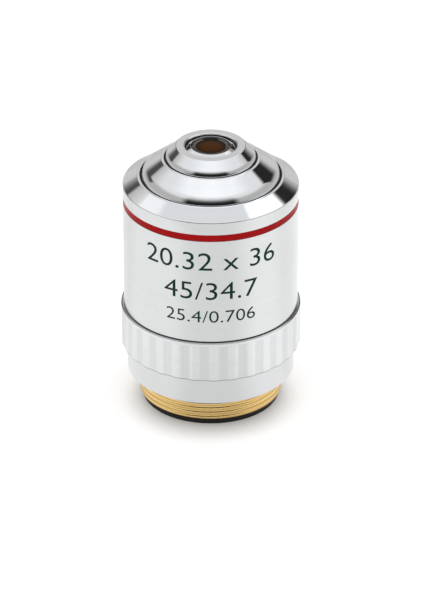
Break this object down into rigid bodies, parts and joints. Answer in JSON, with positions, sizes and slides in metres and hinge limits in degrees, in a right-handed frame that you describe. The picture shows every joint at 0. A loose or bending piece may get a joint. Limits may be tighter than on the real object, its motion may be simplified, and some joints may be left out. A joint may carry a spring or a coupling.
{
  "type": "microscope objective",
  "caption": "Low-power microscope objective with a stepped polished nose, a coloured ring, a satin barrel, a fluted grip and a brass mounting thread.",
  "frame": {"origin": "centre of the rear ring's lower face, on which the objective stands", "axes": "+Z along the optical axis towards the specimen; -Y is the side with the figures"},
  "size_m": [0.0254, 0.0254, 0.0392],
  "materials": {
    "satin_chrome": "satin",
    "polished_chrome": "polished",
    "brass": "turned",
    "black_metal": "matt black",
    "red_enamel": "gloss enamel",
    "optical_glass": "polished",
    "coated_glass": "coated",
    "steel": "turned"
  },
  "bodies": {
    "root": {"rear_ring": "black_metal", "thread_tube": "brass", "grip_base": "satin_chrome", "outer_sleeve": "satin_chrome", "colour_band": "red_enamel", "nose_cone": "polished_chrome", "front_housing": "polished_chrome", "front_cell": "polished_chrome", "front_lens": "coated_glass", "front_lens_retainer": "black_metal", "lens_barrel": "black_metal", "parfocal_shim": "brass", "barrel_lock_ring": "brass", "front_doublet_cell": "black_metal", "front_doublet_crown": "optical_glass", "front_doublet_flint": "optical_glass", "front_spacer": "black_metal", "meniscus_cell": "black_metal", "field_meniscus": "optical_glass", "middle_spacer": "black_metal", "middle_doublet_cell": "black_metal", "middle_doublet_flint": "optical_glass", "middle_doublet_crown": "optical_glass", "aperture_stop": "black_metal", "rear_spacer": "black_metal", "rear_lens_cell": "black_metal", "rear_lens": "optical_glass", "lens_stack_retainer": "black_metal", "phase_cell": "black_metal", "phase_plate": "optical_glass", "phase_retainer": "black_metal", "centring_screws": "steel"}
  },
  "joints": []
}
